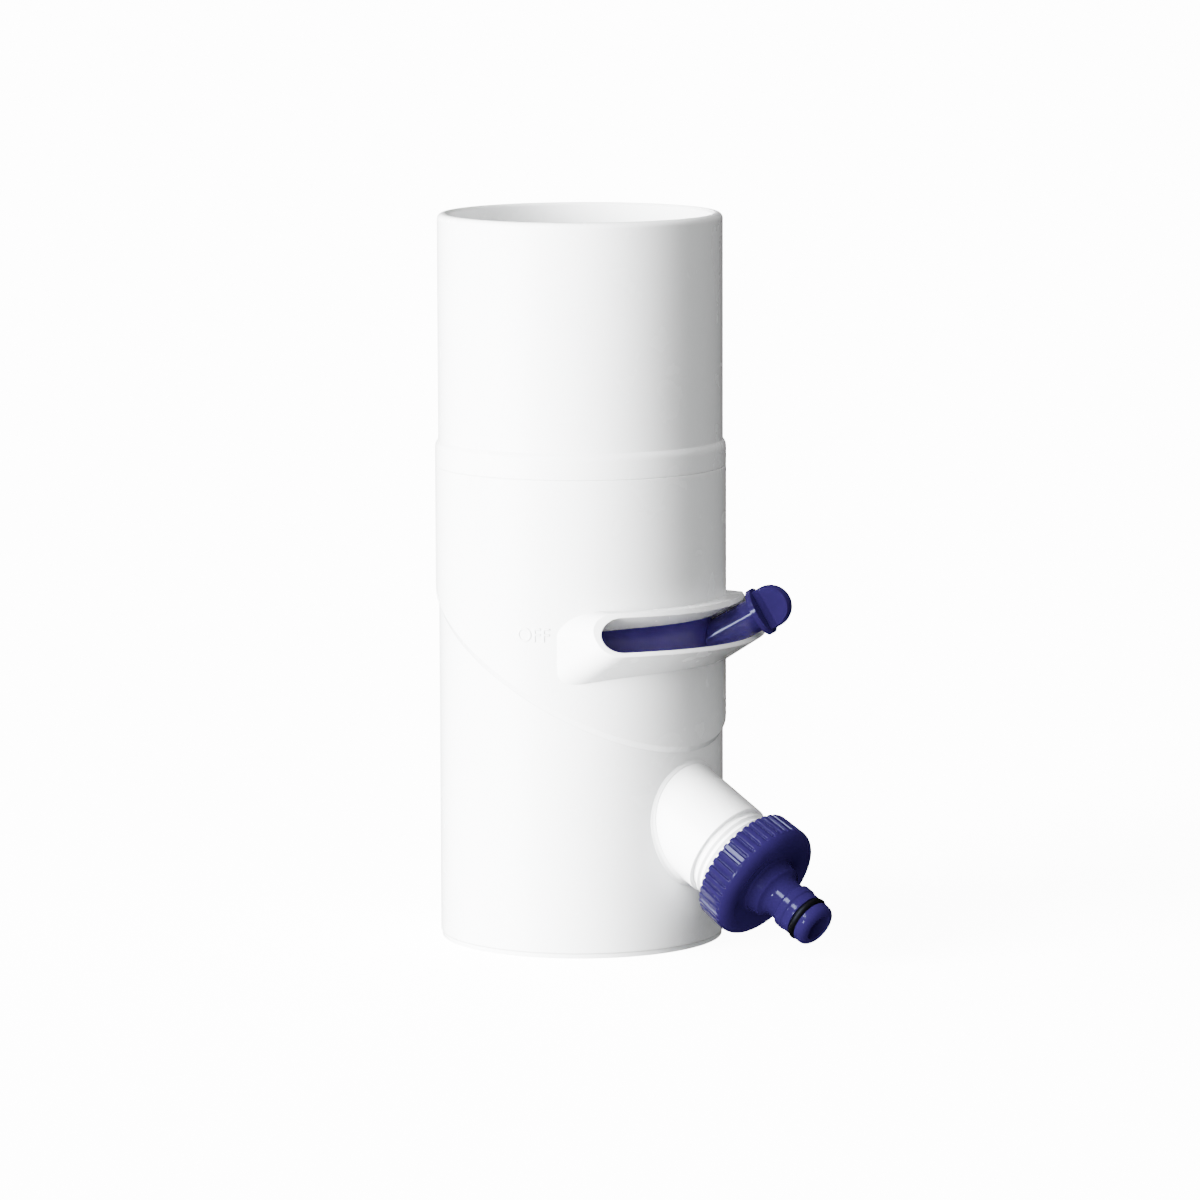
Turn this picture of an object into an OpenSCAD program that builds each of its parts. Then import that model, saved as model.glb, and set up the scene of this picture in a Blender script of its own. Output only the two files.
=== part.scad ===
// Rainwater diverter for a round downpipe, with a turning gutter inside and a click-on hose outlet.
// Millimetres, +Z up. The origin is on the pipe axis, on the bottom rim. The hose outlet points to -Y.

/* [Downpipe] */
// Outside diameter of the downpipe that both sockets take
pipe_d = 90; // [80:1:100]
// Radial play of the pipe in a socket
socket_play = 0.2; // [0.1:0.05:0.4]
// Width of the ring that stops the pipe at the end of a socket
stop_w = 2.4; // [1.6:0.2:3]

/* [Heights] */
// Depth of the lower socket
foot_socket_h = 25; // [18:1:32]
// Thickness of the ring that the rotor turns on
stop_t = 3.3; // [2.4:0.1:5]
// Height of the rotor
rotor_h = 118; // [112:1:126]
// Length of the inlet collar that goes down into the main body
spigot_h = 16; // [10:1:22]
// Height of the inlet collar above the parting line
collar_h = 86.2; // [70:0.2:110]
// Depth of the upper socket
collar_socket_h = 82; // [60:1:84]

/* [Walls] */
// Wall of the inlet collar and of the outlet body
collar_wall = 3.5; // [3:0.1:4.5]
// How far the band and the main body stand proud of the collar
band_step = 1.1; // [0.6:0.1:2]
// Height of the band above the parting line
band_h = 9; // [6:0.2:12]
// Height of the rounded shoulder on top of the band
shoulder_h = 2.6; // [1.2:0.1:4]
// Wall of the main body
body_wall = 3; // [2.8:0.1:3.6]
// Gap between the rotor and the bore that it turns in
turn_gap = 0.3; // [0.2:0.05:0.4]
// Wall of the rotor
rotor_wall = 2.2; // [1.8:0.1:2.6]

/* [Slanted seam] */
// Height of the seam above the outlet axis, measured at the pipe axis
seam_rise = 26.3; // [22:0.1:32]
// Slope of the seam and of the gutter, falling towards the outlet
seam_tilt = 30; // [25:1:32]
// Height of the bevel along the seam
bevel_h = 2.6; // [1.6:0.1:3.4]
// How far the outlet body reaches up inside the main body
lap_h = 11; // [7:0.5:14]

/* [Outlet] */
// Slope of the outlet below the horizontal
outlet_fall = 30; // [26:1:34]
// Outside diameter of the branch
branch_d = 34.4; // [33:0.2:38]
// Wall of the branch
branch_wall = 3.7; // [3:0.1:4.4]
// Length of the branch outside the wall, along its axis
branch_len = 17.4; // [14:0.2:24]
// Diameter of the hole in the rotor that feeds the branch
port_d = 17; // [12:0.5:19]
// Diameter over the thread of the branch
thread_d = 33.2; // [30:0.1:33.4]
// Length of the thread
thread_len = 12.6; // [9:0.2:16]
// Pitch of the thread
thread_pitch = 2.3; // [1.6:0.1:3]
// Depth of the undercut behind the thread
undercut = 0.9; // [0.4:0.1:1.4]

/* [Rotor] */
// Gap between the weir tube and the rotor's wall
gutter_w = 7.8; // [6:0.2:10]
// Height of the weir above the gutter's highest point
weir_rise = 7.7; // [4:0.1:9]
// Height of the gutter's lowest point above the rotor's foot
gutter_foot = 8.7; // [8.2:0.1:12]
// Thickness of the seal rings
seal_t = 2.5; // [2:0.1:3]
// Distance from the rotor's foot to the middle of the lower seal ring
low_seal_z = 3.4; // [3:0.1:4]
// Distance from the rotor's top to the middle of the upper seal ring
high_seal_z = 6; // [4:0.5:9]

/* [Lever] */
// Height of the lever axis above the rotor's foot, measured at the pipe axis
lever_rise_z = 48.7; // [47:0.1:51]
// Slope of the lever above the horizontal
lever_rise = 30; // [28:1:32]
// Diameter of the lever
lever_d = 11.8; // [10:0.1:12]
// Bore of the lever
lever_bore = 6.4; // [5:0.1:7]
// Gap between the hood and the knob's ring, along the lever
knob_gap = 4.4; // [2:0.2:8]
// Turn of the lever from the middle of its slot, as it stands
lever_turn = 22.5; // [-36:0.5:36]
// Turn of the lever from the middle of its slot at each end
lever_stop = 36.5; // [34:0.5:37]
// Diameter of the knob's ring
ring_d = 17; // [15:0.5:20]
// Thickness of the knob's ring
ring_t = 1.9; // [1.4:0.1:3]
// Diameter of the knob's thumb tab
tab_d = 14.8; // [12:0.2:16]
// Thickness of the thumb tab
tab_t = 6; // [4:0.2:8]
// Distance from the ring to the ridge of the thumb tab
tab_neck = 2.9; // [2:0.1:4]

/* [Hood] */
// How far the middle of the slot lies outside the main body
hood_reach = 9.55; // [8:0.1:12]
// Height of the slot, square to the lever
slot_h = 12.5; // [12.4:0.1:14]
// Half the width of the slot
slot_half = 41.5; // [41:0.1:42]
// Wall of the hood at its rim
hood_wall = 1.6; // [1.2:0.1:2.4]
// Slope of the hood's underside
hood_rise = 30.5; // [30:0.5:33]
// Slope of the slot's ceiling
ceiling_rise = 26; // [24:0.5:27]
// Radius of the upper corners of the hood
hood_round = 9; // [6:0.5:11]

/* [Hose adaptor] */
// Gap between the branch and the nut
nut_gap = 2.1; // [1:0.1:4]
// Diameter of the nut at its front
nut_d = 42.2; // [40:0.2:46]
// Diameter of the nut at its back
nut_back_d = 41.2; // [40:0.2:42]
// Length of the nut
nut_len = 18.8; // [16:0.2:22]
// Radius of the nut's front corner
nut_corner = 4.2; // [2:0.1:5]
// Depth of the dish in the nut's front face
dish = 2.4; // [1:0.1:3]
// Number of grip grooves
grip_count = 42; // [24:1:48]
// Width of a grip groove
grip_w = 1.3; // [1:0.1:1.8]
// Depth of a grip groove
grip_depth = 0.8; // [0.4:0.1:1.2]
// Diameter of the click-on nozzle
nozzle_d = 15.9; // [15:0.1:17]
// Diameter of the nozzle's neck
neck_d = 13.8; // [13:0.1:14.4]
// Bore of the nozzle
nozzle_bore = 9.1; // [7:0.1:10]
// Length from the nut's front face to the nozzle's tip
nozzle_len = 24; // [22:0.2:28]

/* [Hidden] */
$fn = 96;

white = "WhiteSmoke";
blue = "MidnightBlue";
black = [0.06, 0.06, 0.07];
steel = "Silver";

// Fits and small gaps
seat_gap = 0.05;
end_gap = 0.2;
thread_gap = 0.1;
lap_out = 0.5;
cut = 1;

// Radii, from the pipe outwards
socket_r = pipe_d / 2 + socket_play;
way_r = socket_r - stop_w;
collar_r = socket_r + collar_wall;
body_r = collar_r + band_step;
bore_r = body_r - body_wall;
lap_r = (collar_r + bore_r) / 2 + lap_out;
rotor_r = bore_r - turn_gap;
rotor_in_r = rotor_r - rotor_wall;

// Heights, from the bottom rim upwards
rotor_z = foot_socket_h + stop_t + end_gap;
rotor_top = rotor_z + rotor_h;
parting_z = rotor_top + end_gap + spigot_h;
top_z = parting_z + collar_h;
gutter_z = rotor_z + gutter_foot;
gutter_top_z = gutter_z + 2 * rotor_in_r * tan(seam_tilt);
weir_top_z = gutter_top_z + weir_rise;
outlet_z = gutter_z + rotor_in_r * tan(outlet_fall) + port_d / 2 / cos(outlet_fall);
seam_z = outlet_z + seam_rise;
lever_z = rotor_z + lever_rise_z;

// Stations along the outlet axis, from the pipe axis
wall_s = collar_r / cos(outlet_fall);
branch_end = wall_s + branch_len;
nut_back = branch_end + nut_gap;
nut_front = nut_back + nut_len;
nozzle_tip = nut_front + nozzle_len;
thread_end = branch_end + thread_len;
sleeve_t = 1.4;
sleeve_s = wall_s + 4;
sleeve_r = branch_d / 2 - branch_wall + sleeve_t;
washer_t = 1.8;
shelf_s = thread_end + washer_t + 2 * seat_gap;
nozzle_seal_s = nozzle_tip - 5.6;
nozzle_seal_r = nozzle_d / 2 + 0.3;
nozzle_seal_t = 2.5;
hub_r = 9.5;

// Stations along the lever axis, from the pipe axis
slot_r = body_r + hood_reach;
slot_z = lever_z + slot_r * tan(lever_rise);
root_s = rotor_r / cos(lever_rise);
ring_s = slot_r / cos(lever_rise) + knob_gap;
ridge_s = ring_s + ring_t + tab_neck;
boss_s = root_s - 9;
web_s = root_s + 4.3;
spigot_d = 9;
spigot_len = 2.6;
plug_len = 8;
screw_d = 3.1;
screw_len = 12;

// Points a local +Z along the outlet, with the origin s from the pipe axis
module on_outlet(s) {
    translate([0, 0, outlet_z]) rotate([90 + outlet_fall, 0, 0]) translate([0, 0, s]) children();
}

// Points a local +Z along the lever as it stands, with the origin s from the pipe axis
module on_lever(s) {
    rotate([0, 0, lever_turn])
        translate([0, 0, lever_z]) rotate([90 - lever_rise, 0, 0]) translate([0, 0, s]) children();
}

// Everything below a plane that is parallel to the seam and lift above it
module below_seam(lift) {
    reach = 3 * body_r;
    translate([0, 0, seam_z + lift]) rotate([seam_tilt, 0, 0])
        translate([-reach, -reach, -2 * reach]) cube(2 * reach);
}

module tube(r_out, r_in, z, h) {
    translate([0, 0, z]) difference() {
        cylinder(r = r_out, h = h);
        translate([0, 0, -cut]) cylinder(r = r_in, h = h + 2 * cut);
    }
}

// Ring of round section, lying flat
module ring_seal(r_mid, t) {
    rotate_extrude() translate([r_mid, 0]) circle(d = t, $fn = 32);
}

// Cutter that rounds a corner to radius q, where at is the round's centre and the corner
// lies between +X and the direction way
module corner(at, way, q) {
    reach = 4 * q;
    difference() {
        polygon([at, at + way * reach, [at[0] + 2 * q, at[1] + way[1] * reach], [at[0] + 2 * q, at[1]]]);
        translate(at) circle(r = q);
    }
}

// Socket that takes the upper pipe, with the band that covers the joint
module inlet_collar() {
    rim = 2;
    lead = 0.8;
    edge = 0.3;
    stop_z = top_z - collar_socket_h;
    drip_z = parting_z - spigot_h;
    shoulder_z = parting_z + band_h - shoulder_h;
    shoulder_r = (shoulder_h * shoulder_h + band_step * band_step) / 2 / band_step;
    color(white) rotate_extrude() {
        difference() {
            polygon([[way_r, drip_z], [bore_r - seat_gap, drip_z], [bore_r - seat_gap, parting_z],
                [collar_r, parting_z], [collar_r, top_z], [socket_r + lead, top_z], [socket_r, top_z - lead],
                [socket_r, stop_z], [way_r, stop_z]]);
            corner([collar_r - rim, top_z - rim], [0, 1], rim);
        }
        difference() {
            polygon([[socket_r, parting_z], [body_r - edge, parting_z], [body_r, parting_z + edge],
                [body_r, parting_z + band_h], [socket_r, parting_z + band_h]]);
            corner([body_r - shoulder_r, shoulder_z], [0, 1], shoulder_r);
        }
    }
}

// The slot's edges are level rings. Square to a sweep of slope t, a ring of radius r at height z
// shows as an arc: this gives its lowest point, its rise at half beside the middle, and its radius
function edge_low(r, z, t) = (z - lever_z) * cos(t) - r * sin(t);
function edge_sag(r, half, t) = sin(t) * (r - sqrt(r * r - half * half));
function edge_r(r, half, t) = (half * half + pow(edge_sag(r, half, t), 2)) / 2 / edge_sag(r, half, t);

// Outline that is open upwards: a floor on the ring r, z with round corners of radius q
module floor_outline(r, z, t, half, q) {
    big = edge_r(r, half, t);
    middle = edge_low(r, z, t) + big;
    u = half - q;
    v = middle - sqrt(pow(big - q, 2) - u * u);
    difference() {
        intersection() {
            translate([0, middle]) circle(r = big);
            translate([-half, v - body_r]) square([2 * half, 2 * body_r]);
        }
        for (side = [0, 1]) mirror([side, 0]) corner([u, v], [u, v - middle] / (big - q), q);
    }
}

// Outline that is open downwards: a ceiling under the ring r, z with round corners of radius q
module ceiling_outline(r, z, t, half, q) {
    big = edge_r(r, half, t);
    middle = edge_low(r, z, t) + big;
    u = half - q;
    v = middle - sqrt(pow(big + q, 2) - u * u);
    difference() {
        translate([-half, v - body_r]) square([2 * half, body_r + big / 2]);
        translate([0, middle]) circle(r = big);
        for (side = [0, 1]) mirror([side, 0]) corner([u, v], [-u, middle - v] / (big + q), q);
    }
}

// Pushes an outline outwards along -Y and up at slope t, from the pipe axis
module sweep_out(t) {
    translate([0, 0, lever_z]) rotate([90 - t, 0, 0]) translate([0, 0, bore_r / 2])
        linear_extrude(2 * body_r) children();
}

// The slot's rim lies on a cone that is square to the lever
module rim_cone() {
    up = 14;
    down = 30;
    rotate_extrude() polygon([[rotor_in_r, slot_z - down], [slot_r + down * tan(lever_rise), slot_z - down],
        [slot_r - up * tan(lever_rise), slot_z + up], [rotor_in_r, slot_z + up]]);
}

module hood() {
    low = slot_h / 2 + hood_wall;
    half = slot_half + hood_wall;
    cover = 0.3;
    crease = 0.02;
    crown = slot_z + low * cos(lever_rise) + cover - lever_z;
    intersection() {
        rim_cone();
        sweep_out(hood_rise) floor_outline(slot_r + low * sin(lever_rise), slot_z - low * cos(lever_rise),
            hood_rise, half, low);
        sweep_out(0) difference() {
            translate([-half, crown - body_r]) square([2 * half, body_r]);
            for (side = [0, 1]) mirror([side, 0])
                corner([half - hood_round + crease, crown - hood_round + crease], [0, 1], hood_round);
        }
    }
}

// The way that the lever sweeps, open to the bore and to the rim
module slot_way() {
    mid = slot_h / 2;
    intersection() {
        sweep_out(hood_rise) floor_outline(slot_r + mid * sin(lever_rise), slot_z - mid * cos(lever_rise),
            hood_rise, slot_half, mid);
        sweep_out(ceiling_rise) ceiling_outline(slot_r - mid * sin(lever_rise), slot_z + mid * cos(lever_rise),
            ceiling_rise, slot_half, mid);
    }
}

// Slice of a cylinder between two planes parallel to the seam, at lift and skin above it
module seam_slice(r, lift) {
    skin = 0.01;
    intersection() {
        translate([0, 0, seam_z - 2 * body_r]) cylinder(r = r, h = 4 * body_r);
        difference() {
            below_seam(lift + skin);
            below_seam(lift);
        }
    }
}

// Bevel that brings the main body in to the outlet body along the seam
module seam_bevel() {
    hull() {
        seam_slice(body_r - 0.02, 1);
        seam_slice(body_r - 0.02, 0);
        seam_slice(collar_r, -bevel_h);
    }
}

// Upper shell with the hooded slot, ending in the slanted, bevelled seam
module main_body() {
    edge = 0.3;
    foot = seam_z - bevel_h - body_r;
    color(white) difference() {
        union() {
            difference() {
                rotate_extrude() polygon([[0, foot], [body_r, foot], [body_r, parting_z - edge],
                    [body_r - edge, parting_z], [0, parting_z]]);
                below_seam(0);
            }
            seam_bevel();
            hood();
        }
        translate([0, 0, foot - cut]) cylinder(r = bore_r, h = parting_z - foot + 2 * cut);
        intersection() {
            translate([0, 0, foot - cut]) cylinder(r = lap_r + seat_gap, h = parting_z - foot);
            below_seam(lap_h);
        }
        slot_way();
    }
}

// Lower shell: slanted lap, rotor seat, lower socket and the threaded branch
module outlet_body() {
    chamfer = 1.6;
    tall = seam_z + body_r;
    branch_r = branch_d / 2;
    way = branch_r - branch_wall;
    color(white) difference() {
        union() {
            difference() {
                rotate_extrude() polygon([[0, 0], [collar_r - chamfer, 0], [collar_r, 1.2 * chamfer],
                    [collar_r, tall], [0, tall]]);
                difference() {
                    translate([0, 0, cut]) cylinder(r = body_r, h = tall);
                    below_seam(-bevel_h);
                }
            }
            intersection() {
                cylinder(r = lap_r, h = tall);
                below_seam(lap_h - end_gap);
            }
            on_outlet(bore_r / 2) cylinder(r = branch_r, h = branch_end - bore_r / 2);
            on_outlet(branch_end - cut) cylinder(d = thread_d - 2 * undercut, h = thread_len + cut);
            on_outlet(branch_end + nut_gap - thread_pitch / 4) thread(floor((thread_len - nut_gap) / thread_pitch));
        }
        translate([0, 0, rotor_z - end_gap]) cylinder(r = bore_r, h = tall);
        translate([0, 0, -cut]) cylinder(r = way_r, h = tall);
        translate([0, 0, -cut]) cylinder(r = socket_r, h = foot_socket_h + cut);
        on_outlet(bore_r / 2) cylinder(r = way, h = branch_end + thread_len);
        on_outlet(bore_r / 2) cylinder(r = sleeve_r, h = sleeve_s - bore_r / 2);
    }
}

// Turns of the branch's thread, as rings
module thread(turns) {
    crest = thread_d / 2;
    root = crest - undercut;
    p = thread_pitch;
    rotate_extrude() polygon(concat([[root - cut, 0]], [for (i = [0 : turns - 1])
        each [[root, i * p], [crest, i * p + 0.3 * p], [crest, i * p + 0.55 * p], [root, i * p + 0.85 * p]]],
        [[root - cut, (turns - 0.15) * p]]));
}

// Rubber sleeve in the mouth of the branch, cut to the rotor's curve
module port_seal() {
    play = 2;
    color(black) difference() {
        on_outlet(bore_r / 2) cylinder(r = sleeve_r - seat_gap, h = sleeve_s - seat_gap - bore_r / 2);
        on_outlet(bore_r / 2 - cut) cylinder(d = port_d + play, h = wall_s);
        cylinder(r = bore_r, h = top_z);
    }
}

// Blue barrel with a gutter that falls to one side, a weir tube and the lever's boss
module rotor() {
    groove = seal_t + 0.2;
    groove_r = bore_r - seal_t - 2 * seat_gap;
    neck_r = groove_r - rotor_wall;
    low = rotor_z + low_seal_z;
    high = rotor_top - high_seal_z;
    neck_low = low + groove / 2 + rotor_wall / 2;
    neck_high = high - groove / 2 - rotor_wall / 2;
    flare = rotor_in_r - neck_r;
    weir_r = rotor_in_r - gutter_w;
    port_s = rotor_in_r / cos(outlet_fall);
    spout_turn = lever_turn - lever_stop;
    boss_r = 6.2;
    lip = 3;
    color(blue) difference() {
        union() {
            rotate_extrude() polygon([
                [neck_r, rotor_z], [rotor_r, rotor_z], [rotor_r, low - groove / 2],
                [groove_r, low - groove / 2], [groove_r, low + groove / 2], [rotor_r, low + groove / 2],
                [rotor_r, high - groove / 2], [groove_r, high - groove / 2], [groove_r, high + groove / 2],
                [rotor_r, high + groove / 2], [rotor_r, rotor_top], [neck_r + 1, rotor_top],
                [neck_r, rotor_top - lip], [neck_r, neck_high], [rotor_in_r, neck_high - flare],
                [rotor_in_r, neck_low + flare], [neck_r, neck_low]]);
            tube(weir_r, weir_r - rotor_wall, rotor_z, weir_top_z - rotor_z);
            rotate([0, 0, spout_turn]) difference() {
                tube(rotor_in_r + rotor_wall / 2, weir_r - rotor_wall / 2, rotor_z, weir_top_z - rotor_z);
                gutter_side(0);
                gutter_side(1);
            }
            intersection() {
                on_lever(boss_s) cylinder(r = boss_r, h = root_s - boss_s);
                cylinder(r = rotor_in_r + rotor_wall / 2, h = top_z);
            }
        }
        rotate([0, 0, spout_turn]) on_outlet(port_s - port_d / 2) cylinder(d = port_d, h = port_d);
        on_lever(root_s - spigot_len) cylinder(d = spigot_d + 2 * seat_gap, h = lever_d);
        on_lever(boss_s - cut) cylinder(d = screw_d + 2 * seat_gap, h = root_s - boss_s);
    }
}

// Space above (side 0) or below (side 1) the sloping gutter floor
module gutter_side(side) {
    reach = 3 * rotor_in_r;
    floor_t = rotor_wall / cos(seam_tilt);
    translate([0, 0, gutter_z + rotor_in_r * tan(seam_tilt) - side * floor_t]) rotate([seam_tilt, 0, 0])
        translate([-reach, -reach, -side * 2 * reach]) cube(2 * reach);
}

module upper_seal() {
    color(black) translate([0, 0, rotor_top - high_seal_z]) ring_seal(bore_r - seat_gap - seal_t / 2, seal_t);
}

module lower_seal() {
    color(black) translate([0, 0, rotor_z + low_seal_z]) ring_seal(bore_r - seat_gap - seal_t / 2, seal_t);
}

// Hollow lever that plugs into the rotor
module lever() {
    color(blue) difference() {
        union() {
            difference() {
                on_lever(boss_s) cylinder(d = lever_d, h = ring_s - boss_s);
                cylinder(r = rotor_r + seat_gap, h = top_z);
            }
            on_lever(root_s - spigot_len + seat_gap) cylinder(d = spigot_d, h = web_s - root_s + spigot_len - cut);
        }
        on_lever(web_s) cylinder(d = lever_bore, h = ring_s);
        on_lever(boss_s) cylinder(d = screw_d + 0.7, h = ring_s - boss_s);
    }
}

// Screw that draws the lever onto the rotor's boss
module lever_screw() {
    color(steel) on_lever(web_s) difference() {
        union() {
            cylinder(d = lever_bore - 0.6, h = 1.9);
            translate([0, 0, -screw_len]) cylinder(d = screw_d, h = screw_len);
        }
        translate([0, 0, 0.8]) for (turn = [0, 90]) rotate([0, 0, turn])
            translate([-1.6, -0.35, 0]) cube([3.2, 0.7, 2]);
    }
}

// Cap of the lever: a ring and a thumb tab with scooped sides
module knob() {
    scoop_depth = 0.8;
    scoop_r = tab_neck + scoop_depth;
    color(blue) on_lever(ring_s) difference() {
        union() {
            cylinder(d = ring_d, h = ring_t);
            translate([0, 0, -plug_len]) cylinder(d = lever_bore - 2 * seat_gap, h = plug_len + ring_t / 2);
            cylinder(d = tab_d, h = ring_t + tab_neck);
            translate([0, 0, ring_t + tab_neck]) intersection() {
                sphere(d = tab_d);
                translate([-tab_d, -tab_d, 0]) cube(2 * tab_d);
            }
        }
        for (side = [0, 1]) mirror([side, 0, 0]) {
            translate([tab_t / 2, -tab_d, ring_t]) cube([tab_d, 2 * tab_d, 2 * tab_d]);
            intersection() {
                translate([tab_t / 2 - scoop_depth + scoop_r, 0, ring_t + 0.3]) rotate([90, 0, 0])
                    cylinder(r = scoop_r, h = 2 * tab_d, center = true);
                translate([0, -tab_d, ring_t]) cube([tab_d, 2 * tab_d, tab_neck]);
            }
        }
    }
}

// Outline of the nut's outside, depth below its surface
module nut_outline(depth) {
    back_r = nut_back_d / 2 - depth;
    front_r = nut_d / 2 - depth;
    back_run = 4.1;
    back_round = 5.7;
    difference() {
        polygon([[0, nut_back], [back_r, nut_back], [back_r, nut_back + back_run],
            [front_r, nut_front - nut_corner], [front_r, nut_front], [0, nut_front]]);
        corner([back_r - back_round, nut_back + back_run], [0, -1], back_round);
        corner([front_r - nut_corner, nut_front - nut_corner], [0, 1], nut_corner);
    }
}

// Outline of the nozzle, from its hub in the nut's dish to the tip
module nozzle_outline() {
    nozzle_r = nozzle_d / 2;
    neck_r = neck_d / 2;
    tip_r = nozzle_r - 0.3;
    tip_round = 2.4;
    step_round = 0.8;
    shoulder = nozzle_tip - 13.2;
    groove = nozzle_seal_t + 0.3;
    groove_r = nozzle_seal_r - nozzle_seal_t - seat_gap;
    hub_end = nut_front - 0.3;
    flare_end = shoulder - 4.4;
    flare_in = hub_r - 0.5 - neck_r;
    flare_r = (pow(flare_end - hub_end, 2) + flare_in * flare_in) / 2 / flare_in;
    difference() {
        polygon([[0, nut_front - dish - cut], [hub_r, nut_front - dish - cut], [hub_r, hub_end - 0.4],
            [hub_r - 0.5, hub_end], [hub_r - 0.5, flare_end], [neck_r, flare_end],
            [neck_r, shoulder - step_round], [nozzle_r, shoulder - step_round], [nozzle_r, shoulder + 3.6],
            [nozzle_r - 0.35, shoulder + 4.2], [nozzle_r - 0.35, nozzle_seal_s - groove / 2],
            [groove_r, nozzle_seal_s - groove / 2], [groove_r, nozzle_seal_s + groove / 2],
            [tip_r, nozzle_seal_s + groove / 2], [tip_r, nozzle_tip], [0, nozzle_tip]]);
        intersection() {
            translate([neck_r + flare_r, flare_end]) circle(r = flare_r);
            translate([0, hub_end]) square([2 * flare_r, flare_end - hub_end]);
        }
        corner([nozzle_r - step_round, shoulder], [0, -1], step_round);
        corner([tip_r - tip_round, nozzle_tip - tip_round], [0, 1], tip_round);
    }
}

// Nut with grip grooves and the click-on nozzle, one moulding
module hose_adaptor() {
    thread_way = thread_d / 2 + thread_gap;
    bore = nozzle_bore / 2;
    color(blue) on_outlet(0) difference() {
        rotate_extrude() difference() {
            union() {
                difference() {
                    nut_outline(0);
                    polygon([[hub_r, nut_front - dish], [nut_d / 2 - nut_corner - 0.5, nut_front],
                        [nut_d / 2 - nut_corner - 0.5, nut_front + cut], [0, nut_front + cut], [0, nut_front - dish]]);
                }
                nozzle_outline();
            }
            polygon([[0, nut_back - cut], [thread_way, nut_back - cut], [thread_way, shelf_s], [8.5, shelf_s],
                [bore, shelf_s + 5], [bore, nozzle_tip - 0.4], [bore + 0.4 + cut, nozzle_tip + cut],
                [0, nozzle_tip + cut]]);
        }
        difference() {
            for (i = [0 : grip_count - 1]) rotate([0, 0, 360 * i / grip_count]) grip_cutter();
            rotate_extrude() nut_outline(grip_depth);
        }
    }
}

// Cutter for one grip groove, round at its front end
module grip_cutter() {
    front = nut_front - nut_corner - 0.6;
    translate([0, nut_back_d / 4, 0]) rotate([-90, 0, 0]) linear_extrude(nut_d / 2) {
        translate([-grip_w / 2, grip_w / 2 - front]) square([grip_w, front - grip_w / 2 - nut_back + cut]);
        translate([0, grip_w / 2 - front]) circle(d = grip_w);
    }
}

module adaptor_washer() {
    color(black) on_outlet(thread_end + seat_gap) difference() {
        cylinder(d = thread_d - 0.6, h = washer_t);
        translate([0, 0, -cut]) cylinder(d = 18, h = washer_t + 2 * cut);
    }
}

module nozzle_seal() {
    color(black) on_outlet(nozzle_seal_s) ring_seal(nozzle_seal_r - nozzle_seal_t / 2, nozzle_seal_t);
}

inlet_collar();
main_body();
outlet_body();
port_seal();
rotor();
upper_seal();
lower_seal();
lever();
lever_screw();
knob();
hose_adaptor();
adaptor_washer();
nozzle_seal();
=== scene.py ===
"""Looks of a rainwater diverter: glossy white and blue mouldings, rubber rings, raised marks and a studio."""

import math

import bmesh
import bpy
from mathutils import Matrix, Vector


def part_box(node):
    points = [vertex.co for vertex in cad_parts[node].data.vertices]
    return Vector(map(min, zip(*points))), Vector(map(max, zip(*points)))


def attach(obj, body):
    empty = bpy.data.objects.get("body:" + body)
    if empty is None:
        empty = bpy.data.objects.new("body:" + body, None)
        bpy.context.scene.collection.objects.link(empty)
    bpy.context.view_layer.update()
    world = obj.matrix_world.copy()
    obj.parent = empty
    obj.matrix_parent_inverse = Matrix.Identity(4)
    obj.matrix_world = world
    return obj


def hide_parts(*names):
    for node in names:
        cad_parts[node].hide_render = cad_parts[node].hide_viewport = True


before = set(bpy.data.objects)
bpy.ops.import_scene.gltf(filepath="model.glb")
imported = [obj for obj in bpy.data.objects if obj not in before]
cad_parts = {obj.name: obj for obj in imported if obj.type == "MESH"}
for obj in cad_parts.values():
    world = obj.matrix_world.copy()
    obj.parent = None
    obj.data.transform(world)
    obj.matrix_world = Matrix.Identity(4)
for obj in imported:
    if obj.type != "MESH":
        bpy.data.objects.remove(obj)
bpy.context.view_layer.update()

bl_info = {
    "name": "Rainwater diverter",
    "version": (1, 0, 0),
    "blender": (4, 5, 0),
    "location": "View3D > Sidebar > Diverter",
    "description": "Dresses a rainwater diverter for a round downpipe",
    "category": "Object",
}

MM = 0.001

WHITE_NODES = ("inlet_collar", "main_body", "outlet_body")
BLUE_NODES = ("rotor", "lever", "knob")
RUBBER_NODES = ("port_seal", "upper_seal", "lower_seal", "adaptor_washer", "nozzle_seal")
STEEL_NODES = ("lever_screw",)

BODY_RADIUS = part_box("main_body")[1].x
SHELL_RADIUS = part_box("outlet_body")[1].x

# height of a capital as a share of the font's size
CAPITAL = 0.72
# one step round the nut is a land and a groove; these are shares of that step
LAND_SHARES = (0.0, 0.20, 0.40)
GROOVE_START = 0.49
GROOVE_SPAN = 0.48
GROOVE_MIDDLE = 0.73
# share of a groove's width over which its side comes up
GROOVE_SIDE = 0.17
# a rounded corner up to this radius gets few points
SMALL_ROUND = 0.6 * MM

# far lights: turn from the camera, lift and spread in degrees, the setting that holds the strength, the parts
# that are lit
FAR_LIGHTS = (
    ("key", -60, 8, 45, "key_light", "pale_parts"),
    ("wide", -40, 34, 175, "wide_light", "pale_parts"),
    ("dark_key", -48, 32, 50, "dark_key_light", "dark_parts"),
    ("dark_wide", -46, -4, 165, "dark_wide_light", "dark_parts"),
    ("back", 165, 25, 120, "back_light", None),
)
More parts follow.
